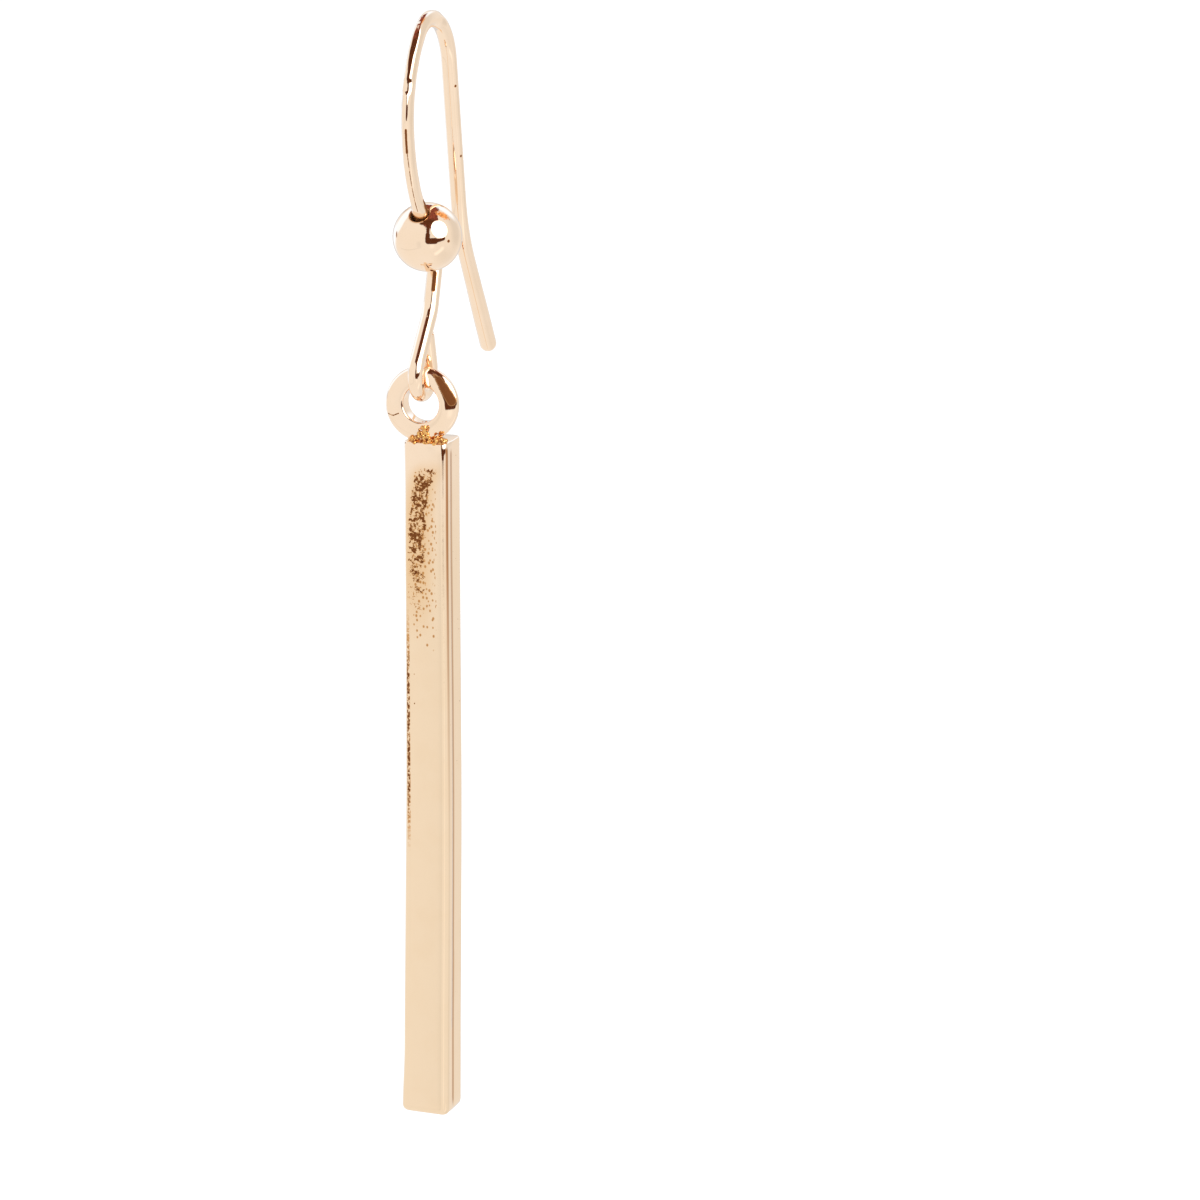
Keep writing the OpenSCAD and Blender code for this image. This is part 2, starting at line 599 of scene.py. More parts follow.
@dataclass(frozen=True)
class DropSizes:
    """Sizes of the ring, the bar and the solder."""

    ring_at: tuple[float, float] = (-1.1017, -17.085)
    ring_r: float = 1.268
    ring_wire_r: float = 0.435
    # the ring is heavier at one side: how much, where, and its share that goes inwards
    ring_heavy: float = 0.045
    ring_heavy_angle: float = 215.0
    ring_heavy_in: float = 0.3
    ring_pitch: float = 2.0
    # how square the ring's section is, outside and at its tight inner edge
    ring_round: float = 2.2
    ring_square: float = 9.0
    ring_inner: Ramp = (0.1, -0.3)
    # the eye runs at the ring's top, where the inner edge is plain: angle and width
    eye_angle: float = 90.0
    eye_width: float = 28.0
    # the filed face: its angles round the ring, its turn, its distance and its dome
    filed_in: Ramp = (-100.0, -50.0)
    filed_out: Ramp = (110.0, 70.0)
    filed_turn: float = 27.0
    filed_apex: float = 0.33
    filed_r: float = 1.5
    filed_soft: float = 0.04
    ring_columns: int = 72
    ring_rows: int = 160
    bar_top: float = -18.77
    bar_end: float = -50.225
    bar_y: float = -0.545
    top_w: float = 2.04
    end_w: float = 2.16
    top_shift: float = 0.233
    end_shift: float = 0.035
    bow: float = 0.068
    slant: float = 0.035
    edge_r: float = 0.335
    rim_r: float = 0.10
    foot_r: float = 0.30
    dome: float = 0.012
    wave: float = 0.006
    # the left edge spreads at the foot and at the top: how much, and where as shares of the length
    flare_foot: float = 0.085
    flare_foot_at: Ramp = (0.9, 1.0)
    flare_top: float = 0.03
    flare_top_at: Ramp = (0.08, 0.0)
    # the file left the front right corner drawn in near the top: how much and how far down
    corner_in: float = 0.065
    corner_l: float = 0.62
    corner_at: Ramp = (1.1, 1.7)
    seam_middle: float = -0.375
    seam_slope: float = -0.00446
    seam_half: float = 0.09
    seam_deep: float = 0.03
    seam_ends: Ramp = (0.3, 0.6)
    # where the faces are cut, so that they can be shaped
    edge_steps: int = 10
    rim_steps: int = 5
    side_step: float = 0.18
    length_step: float = 0.45
    seam_cuts: tuple[float, ...] = (-1.0, -0.6, -0.3, 0.0, 0.3, 0.6, 1.0)
    top_cuts: tuple[float, ...] = (0.22, 0.3, 0.42, 0.56)
    # the solder's big lumps: place across, width, depth and height
    solder_y: float = 0.05
    solder_lumps: tuple[tuple[float, float, float, float], ...] = (
        (-0.50, 0.22, 0.30, 0.17),
        (-0.18, 0.30, 0.36, 0.24),
        (0.14, 0.32, 0.38, 0.26),
        (0.48, 0.30, 0.36, 0.27),
        (0.82, 0.26, 0.32, 0.20),
    )
    solder_seed: int = 11
    # the small beads at the foot: how many, where across and in depth, and how big
    foot_beads: int = 44
    foot_x: Ramp = (-0.5, 1.14)
    foot_y: tuple[Ramp, Ramp] = ((-1.5, -1.2), (-1.64, -1.5))
    foot_bead_r: Ramp = (0.055, 0.12)
    # they are heaped up: how low, how high, and the middle and half width of the heap
    heap_low: float = -0.04
    heap_h: float = 0.34
    heap_x: float = 0.3
    heap_half: float = 1.1
    # those on the ring: how many, their angles, their place and how far they spill sideways
    climbing_beads: int = 34
    climb: Ramp = (-30.0, 80.0)
    climb_x: float = 0.16
    climb_y: float = -0.06
    climb_out: float = 0.47
    climb_up: float = 0.46
    climb_spill: float = 0.30
    climb_narrows: float = 0.10
    climbing_bead_r: Ramp = (0.05, 0.10)
    climbing_bead_tall: float = 1.3
    # the lumps' unevenness, and how fine their skin is
    lump_bumps: float = 0.14
    solder_grain: float = 0.018


class Drop:
    """The hanging ring, the bar and the solder between them."""

    def __init__(self, sizes: DropSizes) -> None:
        """Keeps the sizes."""
        self.sizes = sizes

    def ring(self) -> Piece:
        """Builds the ring: a wire ring, heavier at its lower left and filed at its upper right.

        Returns:
            The ring.
        """
        sizes = self.sizes
        y0, z0 = sizes.ring_at
        pitch = math.radians(sizes.ring_pitch)

        def shape(t: float, a: float) -> Vector:
            """The ring's face at angle t round its wire and angle a round the ring.

            Args:
                t: Angle round the ring's wire, from the outer edge.
                a: Angle round the ring, from its right.

            Returns:
                The point.
            """
            swell = sizes.ring_heavy * math.cos(a - math.radians(sizes.ring_heavy_angle))
            # the inner edge is tight, but not where the eye runs
            angle = (math.degrees(a) + 180) % 360 - 180
            plain = math.exp(-(((angle - sizes.eye_angle) / sizes.eye_width) ** 2))
            inner = smooth(*sizes.ring_inner, math.cos(t)) * (1 - plain)
            n = mix(sizes.ring_round, sizes.ring_square, inner)
            squared = (abs(math.cos(t)) ** n + abs(math.sin(t)) ** n) ** (-1 / n)
            section = sizes.ring_wire_r * squared
            # the upper right of the front is filed, and its face turns outward
            filed = smooth(*sizes.filed_in, angle) * smooth(*sizes.filed_out, angle)
            if filed > 0 and math.sin(t) < 0.2:
                turned = t + math.pi / 2 - math.radians(sizes.filed_turn)
                face = arc(sizes.filed_r, sizes.filed_apex, turned)
                cut = soft_min(section, face, sizes.filed_soft)
                section = mix(section, cut, filed)
            heavier = swell * (math.cos(t) - sizes.ring_heavy_in)
            reach = sizes.ring_r + section * math.cos(t) + heavier
            depth = section * math.sin(t) + 0.5 * swell * math.sin(t)
            high = reach * math.sin(a)
            return Vector(
                (
                    reach * math.cos(a),
                    y0 + depth * math.cos(pitch) + high * math.sin(pitch),
                    z0 + high * math.cos(pitch) - depth * math.sin(pitch),
                )
            )

        bm = skin(turns(sizes.ring_columns), turns(sizes.ring_rows), shape)
        return finished(bm, "hanging_ring")

    def bar(self) -> Piece:
        """Builds the bar: a square prism with rounded edges, gently bowed and flared.

        Returns:
            The bar.
        """
        sizes = self.sizes
        length = sizes.bar_top - sizes.bar_end
        bm = bmesh.new()
        bmesh.ops.create_cube(bm, size=1.0)
        bmesh.ops.scale(bm, vec=(sizes.end_w, sizes.end_w, length), verts=bm.verts)
        upright = [e for e in bm.edges if abs(e.verts[0].co.z - e.verts[1].co.z) > 1.0]
        self._round(bm, upright, sizes.edge_r, sizes.edge_steps)
        for side, radius in ((1, sizes.rim_r), (-1, sizes.foot_r)):
            rim = [e for e in bm.edges if all(side * v.co.z > length / 2 - 1e-3 for v in e.verts)]
            self._round(bm, rim, radius, sizes.rim_steps)
        for axis, half, step in (
            (0, sizes.end_w / 2, sizes.side_step),
            (1, sizes.end_w / 2, sizes.side_step),
            (2, length / 2, sizes.length_step),
        ):
            inner = half - sizes.edge_r
            normal = Vector([1.0 if i == axis else 0.0 for i in range(3)])
            for at in spread(-inner, inner, step)[1:-1]:
                self._cut(bm, normal * at, normal)
        for share in sizes.seam_cuts:
            at = sizes.seam_middle + share * sizes.seam_half
            self._cut(bm, Vector((0, at, 0)), Vector((0, 1, -sizes.seam_slope)).normalized())
        for below in sizes.top_cuts:
            self._cut(bm, Vector((0, 0, length / 2 - below)), Vector((0, 0, 1)))
        middle = (sizes.bar_top + sizes.bar_end) / 2
        for v in bm.verts:
            self._shape_bar(v, length, middle)
        return finished(bm, "square_bar")

    def _round(
        self, bm: BMesh, edges: list[bmesh.types.BMEdge], radius: float, steps: int
    ) -> None:
        """Rounds edges of the bar.

        Args:
            bm: The bar.
            edges: The edges to round.
            radius: How far the rounding reaches.
            steps: How many faces each rounding has.
        """
        bmesh.ops.bevel(
            bm,
            geom=edges,
            offset=radius,
            offset_type="OFFSET",
            segments=steps,
            profile=0.5,
            affect="EDGES",
            material=-1,
        )

    def _cut(self, bm: BMesh, at: Vector, normal: Vector) -> None:
        """Cuts the bar's faces along a plane, so that they can be shaped there."""
        whole = bm.verts[:] + bm.edges[:] + bm.faces[:]
        bmesh.ops.bisect_plane(bm, geom=whole, plane_co=at, plane_no=normal)

    def _shape_bar(self, v: bmesh.types.BMVert, length: float, middle: float) -> None:
        """Moves one of the bar's points from the plain prism to the real bar.

        Args:
            v: The point.
            length: The prism's length.
            middle: Height of the bar's middle.
        """
        sizes = self.sizes
        x, y, h = v.co
        half = sizes.end_w / 2
        down = 0.5 - h / length
        face_x = max(0.0, 1 - (y / half) ** 2) * (x / half)
        face_y = max(0.0, 1 - (x / half) ** 2) * (y / half)
        wave = sizes.wave * noise.noise(Vector((0.5 * x, 0.5 * y, 0.35 * h)))
        seam = max(0.0, 1 - ((y - sizes.seam_middle - sizes.seam_slope * h) / sizes.seam_half) ** 2)
        if x > half - 1e-3:
            x -= sizes.seam_deep * seam * smooth(*sizes.seam_ends, length / 2 - abs(h))
        corner = smooth(*sizes.corner_at, (x - y) / half)
        near_top = max(0.0, 1 - (length / 2 - h) / sizes.corner_l) ** 2
        x -= sizes.corner_in * corner * near_top
        y += sizes.corner_in * corner * near_top
        x += sizes.dome * face_x + wave * (x / half)
        y += sizes.dome * face_y + wave * (y / half)
        grow = mix(sizes.top_w / sizes.end_w, 1.0, smooth(0.0, 1.0, down))
        x, y = x * grow, y * grow
        flare = smooth(*sizes.flare_foot_at, down) * sizes.flare_foot
        flare += smooth(*sizes.flare_top_at, down) * sizes.flare_top
        x -= flare * smooth(0.2, -1.0, x / half)
        x += mix(sizes.top_shift, sizes.end_shift, down) + sizes.bow * math.sin(math.pi * down) ** 2
        lean = sizes.slant * (x / half) * smooth(0.8, 1.0, down)
        v.co = Vector((x, y + sizes.bar_y, h + middle - lean))

    def solder(self) -> Piece:
        """Builds the solder: beads of it that have run together round the ring's foot.

        Returns:
            The solder.
        """
        sizes = self.sizes
        chance = random.Random(sizes.solder_seed)
        bm = bmesh.new()
        solder_y = sizes.ring_at[0] + sizes.solder_y
        lumps = [
            (Vector((x, solder_y, sizes.bar_top)), Vector((wide, deep, high)))
            for x, wide, deep, high in sizes.solder_lumps
        ]
        # half of the small beads lie along the bar's front edge, and half behind it
        for i in range(sizes.foot_beads):
            x = chance.uniform(*sizes.foot_x)
            crest = sizes.heap_h * (1 - ((x - sizes.heap_x) / sizes.heap_half) ** 2)
            y = chance.uniform(*sizes.foot_y[i % 2])
            at = Vector((x, y, sizes.bar_top + chance.uniform(sizes.heap_low, crest)))
            lumps.append((at, Vector((1, 1, 1)) * chance.uniform(*sizes.foot_bead_r)))
        # some has climbed the front of the ring to the edge of its hole
        foot = sizes.ring_at[1] - sizes.ring_r
        for _ in range(sizes.climbing_beads):
            climb = math.radians(chance.uniform(*sizes.climb))
            spill = sizes.climb_spill - sizes.climb_narrows * abs(math.sin(climb))
            at = Vector(
                (
                    sizes.climb_x + chance.uniform(-spill, spill),
                    sizes.ring_at[0] + sizes.climb_y - sizes.climb_out * math.cos(climb),
                    foot + sizes.climb_up * math.sin(climb),
                )
            )
            tall = Vector((1, 1, sizes.climbing_bead_tall))
            lumps.append((at, tall * chance.uniform(*sizes.climbing_bead_r)))
        for i, (at, size) in enumerate(lumps):
            for v in bmesh.ops.create_icosphere(bm, subdivisions=3, radius=1.0)["verts"]:
                bump = 1 + sizes.lump_bumps * noise.noise(v.co * 1.9 + Vector((7.0 * i, 0, 0)))
                v.co = at + v.co * size * bump
        bm = fused(bm, sizes.solder_grain)
        every_way = {f"use_axis_{axis}": True for axis in "xyz"}
        bmesh.ops.smooth_vert(bm, verts=bm.verts, factor=0.5, **every_way)
        return finished(bm, "solder")


# Shader graphs


class Graph:
    """Short calls that add nodes to a tree and join them."""

    def __init__(self, tree: NodeTree) -> None:
        """Keeps the tree."""
        self.tree = tree

    def set(self, node: Node, key: str | int, value: object) -> None:
        """Joins a socket to an input, or sets the input's own value.

        Args:
            node: The node.
            key: The input's name or place.
            value: A socket, a plain value, or None to leave the input alone.
        """
        if isinstance(value, Socket):
            self.tree.links.new(value, node.inputs[key])
        elif value is not None:
            node.inputs[key].default_value = value

    def add(
        self, kind: str, inputs: dict[str | int, object] | None = None, **settings: object
    ) -> Node:
        """Adds a node.

        Args:
            kind: The node's type, without the ShaderNode prefix.
            inputs: Values or sockets for its inputs.
            settings: Values for its own settings.

        Returns:
            The node.
        """
        node = self.tree.nodes.new(f"ShaderNode{kind}")
        for key, value in settings.items():
            setattr(node, key, value)
        for key, value in (inputs or {}).items():
            self.set(node, key, value)
        return node

    def math(self, operation: str, a: object, b: object = None, c: object = None) -> Socket:
        """Adds a math node and returns its result."""
        return self.add("Math", {0: a, 1: b, 2: c}, operation=operation).outputs[0]

    def times(self, product: object, *factors: object) -> Socket:
        """Multiplies two or more values.

        Args:
            product: The first value.
            factors: The others.

        Returns:
            The product.
        """
        for factor in factors:
            product = self.math("MULTIPLY", product, factor)
        return product

    def line(self, value: object, slope: object, start: object) -> Socket:
        """Value times slope plus start."""
        return self.math("MULTIPLY_ADD", value, slope, start)

    def inverse(self, value: object) -> Socket:
        """What is left of one."""
        return self.math("SUBTRACT", 1.0, value)

    def noise(self, at: Socket, scale: float, detail: float = 2, rough: float = 0.5) -> Socket:
        """Soft noise from 0 to 1."""
        inputs = {"Vector": at, "Scale": scale, "Detail": detail, "Roughness": rough}
        return self.add("TexNoise", inputs).outputs["Fac"]

    def vector(self, operation: str, a: object, b: object = None, out: str = "Vector") -> Socket:
        """Adds a vector math node and returns one of its results.

        Args:
            operation: What the node does.
            a: The first vector.
            b: The second vector, or the scale.
            out: The result to return.

        Returns:
            The result's socket.
        """
        node = self.add("VectorMath", {0: a}, operation=operation)
        if operation == "SCALE":
            self.set(node, "Scale", b)
        else:
            self.set(node, 1, b)
        return node.outputs[out]

    def step(self, value: object, low: object, high: object) -> Socket:
        """A smooth step of value from 0 at low to 1 at high.

        Args:
            value: The value to read.
            low: Where the step starts.
            high: Where it ends.

        Returns:
            The step's socket.
        """
        return self.add(
            "MapRange",
            {"Value": value, "From Min": low, "From Max": high},
            interpolation_type="SMOOTHSTEP",
        ).outputs["Result"]

    def under(self, value: object, low: object, high: object) -> Socket:
        """A smooth step of value from 1 at low to 0 at high."""
        return self.inverse(self.step(value, low, high))

    def between(self, value: object, band: Band) -> Socket:
        """1 inside a band and 0 outside it, with soft ends."""
        start, whole, fades, end = band
        return self.times(self.step(value, start, whole), self.under(value, fades, end))

    def blend(self, share: object, a: object, b: object) -> Socket:
        """Mixes two colours by share.

        Args:
            share: 0 for the first colour and 1 for the second.
            a: The first colour.
            b: The second colour.

        Returns:
            The mixed colour's socket.
        """
        return self.add(
            "Mix", {"Factor": share, 6: a, 7: b}, data_type="RGBA", clamp_factor=True
        ).outputs[2]


def group(
    name: str, inputs: Sequence[tuple[str, str]], outputs: Sequence[tuple[str, str]]
) -> tuple[NodeTree, Graph, Node, Node]:
    """Starts a shader node group.

    Args:
        name: The group's name.
        inputs: Name and kind of each input.
        outputs: Name and kind of each output.

    Returns:
        The group's tree, its Graph, its input node and its output node.
    """
    tree = bpy.data.node_groups.new(name, "ShaderNodeTree")
    for way, sockets in (("INPUT", inputs), ("OUTPUT", outputs)):
        for label, kind in sockets:
            tree.interface.new_socket(name=label, in_out=way, socket_type=f"NodeSocket{kind}")
    g = Graph(tree)
    return tree, g, tree.nodes.new("NodeGroupInput"), tree.nodes.new("NodeGroupOutput")


def used(g: Graph, tree: NodeTree, inputs: dict[str | int, object]) -> Node:
    """Adds a group to a graph and sets its inputs.

    Args:
        g: The graph.
        tree: The group's tree.
        inputs: Values or sockets by input.

    Returns:
        The group's node.
    """
    node = g.add("Group")
    node.node_tree = tree
    for key, value in inputs.items():
        g.set(node, key, value)
    return node


# Gold


@dataclass(frozen=True)
class StainAndPaintedDark:
    """A colour laid over the gold, for stains in the plating and for painted dark reflections and
    painted shade, and how far it covers the gold.
    """

    colour: Colour
    cover: float

    def over(self, g: Graph, mask: Socket, below: Socket) -> Socket:
        """Lays the colour over another where the mask is."""
        return g.blend(g.times(mask, self.cover), below, (*self.colour, 1))


WARM = StainAndPaintedDark((0.84, 0.54, 0.27), 0.65)
SEAM_TARNISH_AND_PAINTED_REFLECTION = StainAndPaintedDark((0.42, 0.14, 0.02), 0.9)
# rims and cores of pits, also used for the painted dark reflections and painted shade
PIT_AND_PAINTED_DARK_RIM = StainAndPaintedDark((0.62, 0.28, 0.07), 0.85)
PIT_AND_PAINTED_DARK_CORE = StainAndPaintedDark((0.12, 0.034, 0.009), 0.96)


@dataclass(frozen=True)
class Speck:
    """A dark mark on the gold, used for pits and stains in the plating and for painted dark
    reflections and painted shade: where it starts, its radius and where it runs to.
    """

    at: Point
    radius: float
    to: Point | None = None


def stroke(*points: tuple[Point, float]) -> tuple[Speck, ...]:
    """A line of dark marks from point to point, as wide as each point says on the way to it; used
    for scratches, stains and painted dark reflections.
    """
    return tuple(Speck(a, radius, b) for (a, _), (b, radius) in zip(points, points[1:]))


@dataclass(frozen=True)
class Finish:
    """A polished gold finish."""

    name: str
    tint: Colour = (0.925, 0.72, 0.505)
    pale: Colour = (0.969, 0.765, 0.575)
    deep: Colour = (0.85, 0.60, 0.36)
    drift: float = 0.12
    roughness: float = 0.045
    ripple: float = 1.0
    pits: float = 0.0
    soot: float = 0.0
    specks: tuple[Speck, ...] = field(default_factory=tuple)


def polish_group() -> NodeTree:
    """Group for what all the polished gold shares: ripples, fine scratches and hue drift.

    Returns:
        The group.
    """
    tree, g, into, out = group(
        "polished_plate",
        (("Position", "Vector"), ("Ripple", "Float")),
        [(label, "Float") for label in ("Hue", "Haze", "Height", "Grain", "Pale")],
    )
    at = into.outputs["Position"]
    broad, fine = g.noise(at, 0.9), g.noise(at, 6.0, 4.0, 0.6)
    # the polishing lines are drawn out along Z
    lines = g.noise(g.vector("MULTIPLY", at, (26.0, 26.0, 2.2)), 1.0, 3.0, 0.7)
    g.set(out, "Hue", g.step(broad, 0.35, 0.75))
    # the plating is paler from the bar's top upwards
    g.set(out, "Pale", g.step(g.add("SeparateXYZ", {"Vector": at}).outputs[2], -25.0, -18.8))
    g.set(out, "Grain", g.step(fine, 0.46, 0.6))
    haze = g.times(g.step(fine, 0.45, 0.8), 0.05)
    g.set(out, "Haze", g.line(g.step(lines, 0.55, 0.8), 0.03, haze))
    swell = g.times(broad, into.outputs["Ripple"])
    g.set(out, "Height", g.line(fine, 0.05, g.line(lines, 0.02, swell)))
    return tree


def speck_group() -> NodeTree:
    """Group for one dark mark (pits and scratches, and also painted dark reflections and painted
    shade): how deep a point lies in it, from 0 to 1.

    Returns:
        The group.
    """
    tree, g, into, out = group(
        "speck",
        [(label, "Vector") for label in ("Position", "Start", "Run")]
        + [(label, "Float") for label in ("Radius", "So far")],
        (("Depth", "Float"),),
    )
    wobble = g.noise(into.outputs["Position"], 14.0)
    run = into.outputs["Run"]
    offset = g.vector("SUBTRACT", into.outputs["Position"], into.outputs["Start"])
    square = g.math("ADD", g.vector("DOT_PRODUCT", run, run, "Value"), 1e-6)
    share = g.math("DIVIDE", g.vector("DOT_PRODUCT", offset, run, "Value"), square)
    share = g.math("MINIMUM", g.math("MAXIMUM", share, 0.0), 1.0)
    away = g.vector("DISTANCE", offset, g.vector("SCALE", run, share), "Value")
    rough = g.math("DIVIDE", g.line(wobble, 0.03, away), into.outputs["Radius"])
    g.set(out, "Depth", g.math("MAXIMUM", g.under(rough, 0.8, 1.35), into.outputs["So far"]))
    return tree


@dataclass(frozen=True)
class PitSizes:
    """Where the bar's casting pits and stains lie, in millimetres."""

    front: Ramp = (-1.47, -1.4)
    # the patch's middle is wide * exp(fall * z + rise) + left, so it drifts to the left edge
    fall: float = 0.77
    rise: float = 15.3
    wide: float = 0.65
    left: float = -0.23
    dense_off: Ramp = (0.27, 0.56)
    dense_z: Band = (-28.5, -22.6, -20.1, -19.8)
    warm_off: Ramp = (0.3, 1.0)
    warm_z: Band = (-28.5, -24.5, -20.4, -19.4)
    loose_x: Band = (-0.5, -0.2, 0.6, 0.8)
    loose_z: Band = (-29.0, -25.0, -20.4, -19.9)
    worn_x: Band = (-0.74, -0.68, -0.58, -0.52)
    worn_z: Band = (-38.5, -34.5, -30.0, -25.5)
    # how many cells to a millimetre, how far a pit fills its cell, and the share that has one
    loose_cells: Point = (6.5, 6.5, 4.8)
    loose_fill: Ramp = (0.20, 0.46)
    loose_share: float = 0.85
    stray_cells: Point = (3.1, 3.1, 2.4)
    stray_fill: Ramp = (0.05, 0.11)
    stray_share: float = 0.08
    # the seam runs down the side, nearer the front at the top
    seam_slope: float = 0.00446
    seam_y: float = 1.074
    seam_half: Ramp = (0.06, 0.18)
    seam_x: Ramp = (0.3, 0.6)
    seam_z: Band = (-50.0, -49.6, -19.4, -19.0)
    # a painted dark reflection fades out down the front right edge
    corner: Point = (1.18, -1.375, 0.0)
    reflection_half: Ramp = (0.04, 0.11)
    reflection_z: Band = (-40.0, -20.5, -19.1, -18.9)


def pit_group(pits: PitSizes) -> NodeTree:
    """Group for the bar's casting pits, its worn edge, its tarnish and a painted dark reflection
    down its front right edge.

    Args:
        pits: Where they lie.

    Returns:
        The group.
    """
    tree, g, into, out = group(
        "casting_pits",
        (("Position", "Vector"),),
        [(label, "Float") for label in ("Depth", "Tarnish and painted reflection", "Warm")],
    )
    at = into.outputs["Position"]
    place = g.add("SeparateXYZ", {"Vector": at})
    x, y, z = (place.outputs[i] for i in range(3))
    front = g.under(y, *pits.front)

    # the patch is eaten away in clumps with ragged edges, and is warmer all round
    drift = g.math("EXPONENT", g.line(z, pits.fall, pits.rise))
    off = g.math("ABSOLUTE", g.math("SUBTRACT", x, g.line(drift, pits.wide, pits.left)))
    dense = g.times(g.under(off, *pits.dense_off), g.between(z, pits.dense_z), front)
    warm = g.times(g.under(off, *pits.warm_off), g.between(z, pits.warm_z), front)
    g.set(out, "Warm", warm)
    ragged, clumps = g.noise(at, 8.5, 3.0, 0.65), g.noise(at, 2.6, 1.0)
    eaten = g.step(g.line(dense, 0.25, g.line(clumps, 0.5, ragged)), 0.91, 1.05)
    eaten = g.times(eaten, g.step(dense, 0.1, 0.4))

    def cells(stretch: Point, fill: Ramp, share: object) -> Socket:
        """Round pits in a share of the cells of a grid.

        Args:
            stretch: How many cells there are to a millimetre, each way.
            fill: How far a pit fills its cell: where it is whole and where it ends.
            share: The share of the cells that have a pit.

        Returns:
            How deep a point lies in a pit, from 0 to 1.
        """
        grain = g.add("TexVoronoi", {"Vector": g.vector("MULTIPLY", at, stretch), "Scale": 1.0})
        draw = g.add("SeparateColor", {0: grain.outputs["Color"]}).outputs[0]
        rare = g.inverse(share)
        there = g.step(draw, rare, g.math("ADD", rare, 0.03))
        return g.times(g.under(grain.outputs["Distance"], *fill), there)

    # loose pits lie right of the patch, the left edge is worn, and a few pits are strays
    loose = g.times(g.between(x, pits.loose_x), front, g.between(z, pits.loose_z))
    small = cells(pits.loose_cells, pits.loose_fill, g.times(loose, pits.loose_share))
    edge = g.times(g.between(x, pits.worn_x), g.between(z, pits.worn_z), front)
    worn = g.times(edge, g.step(ragged, 0.38, 0.56))
    stray = cells(pits.stray_cells, pits.stray_fill, pits.stray_share)
    worst = g.math("MAXIMUM", eaten, g.times(small, 0.6))
    g.set(out, "Depth", g.math("MAXIMUM", worst, g.math("MAXIMUM", worn, stray)))

    seam = g.math("ABSOLUTE", g.math("ADD", y, g.line(z, pits.seam_slope, pits.seam_y)))
    dirty = g.times(g.under(seam, *pits.seam_half), g.step(x, *pits.seam_x))
    dirty = g.times(dirty, g.between(z, pits.seam_z), 0.6)
    # the line down the front right edge is a painted dark reflection, joined to the seam's tarnish
    flat = g.add("CombineXYZ", {0: x, 1: y, 2: 0.0}).outputs[0]
    away = g.vector("DISTANCE", flat, pits.corner, "Value")
    corner = g.times(g.under(away, *pits.reflection_half), g.between(z, pits.reflection_z))
    g.set(out, "Tarnish and painted reflection", g.math("MAXIMUM", dirty, corner))
    return tree


class Goldsmith:
    """Makes the gold materials from finishes."""

    def __init__(self) -> None:
        """Builds the shared groups."""
        self.polish = polish_group()
        self.speck = speck_group()
        self.pits = pit_group(PitSizes())

    def material(self, finish: Finish) -> bpy.types.Material:
        """A polished gold material.

        Args:
            finish: The finish to make.

        Returns:
            The material.
        """
        material = bpy.data.materials.new(finish.name)
        material.use_nodes = True
        tree = material.node_tree
        tree.nodes.clear()
        g = Graph(tree)
        place = g.add("TexCoord").outputs["Object"]
        at = g.vector("SCALE", place, 1.0 / MM)
        polish = used(g, self.polish, {"Position": at, "Ripple": finish.ripple})
        depth: Socket | None = None
        colour = g.blend(polish.outputs["Pale"], (*finish.tint, 1), (*finish.pale, 1))
        drift = g.times(polish.outputs["Hue"], finish.drift)
        colour = g.blend(drift, colour, (*finish.deep, 1))
        if finish.soot:
            soot = StainAndPaintedDark((0.30, 0.08, 0.02), finish.soot)
            colour = soot.over(g, polish.outputs["Grain"], colour)
        if finish.pits:
            cast = used(g, self.pits, {"Position": at})
            depth = g.times(cast.outputs["Depth"], finish.pits)
            colour = WARM.over(g, cast.outputs["Warm"], colour)
            # the seam's tarnish, and the painted dark reflection down the bar's front right edge
            colour = SEAM_TARNISH_AND_PAINTED_REFLECTION.over(g, cast.outputs["Tarnish and painted reflection"], colour)
        for speck in finish.specks:
            start = Vector(speck.at)
            run = Vector(speck.to) - start if speck.to else Vector((0, 0, 0))
            inputs = {"Position": at, "Start": start, "Run": run, "Radius": speck.radius}
            depth = used(g, self.speck, {**inputs, "So far": depth}).outputs["Depth"]
        height = polish.outputs["Height"]
        rough = g.math("ADD", polish.outputs["Haze"], finish.roughness)
        metal: Socket | float = 1.0
        if depth is not None:
            core = g.step(depth, 0.4, 1.0)
            colour = PIT_AND_PAINTED_DARK_RIM.over(g, g.step(depth, 0.0, 0.5), colour)
            colour = PIT_AND_PAINTED_DARK_CORE.over(g, core, colour)
            # the bottom of a pit is dirt and not metal; the painted dark reflections and painted
            # shade are made the same way
            metal = g.line(core, -0.85, 1.0)
            height = g.math("SUBTRACT", height, g.times(depth, 2.0))
            rough = g.line(depth, 0.3, rough)
        bump = g.add(
            "Bump", {"Height": height, "Strength": BUMP_STRENGTH, "Distance": BUMP_DEPTH * MM}
        )
        shader = g.add(
            "BsdfPrincipled",
            {
                "Base Color": colour,
                "Roughness": rough,
                "Metallic": metal,
                "Specular IOR Level": 0.0,
                "Normal": bump.outputs[0],
            },
        )
        out = g.add("OutputMaterial")
        tree.links.new(shader.outputs[0], out.inputs["Surface"])
        return material


# The studio


@dataclass(frozen=True)
class CameraSizes:
    """Where the camera stands and looks, and its lens."""

    place: Point = (94.755, -267.236, 45.867)
    azimuth: float = 18.0
    elevation: float = 14.3
    lens: float = 195.0
    sensor: float = 36.0


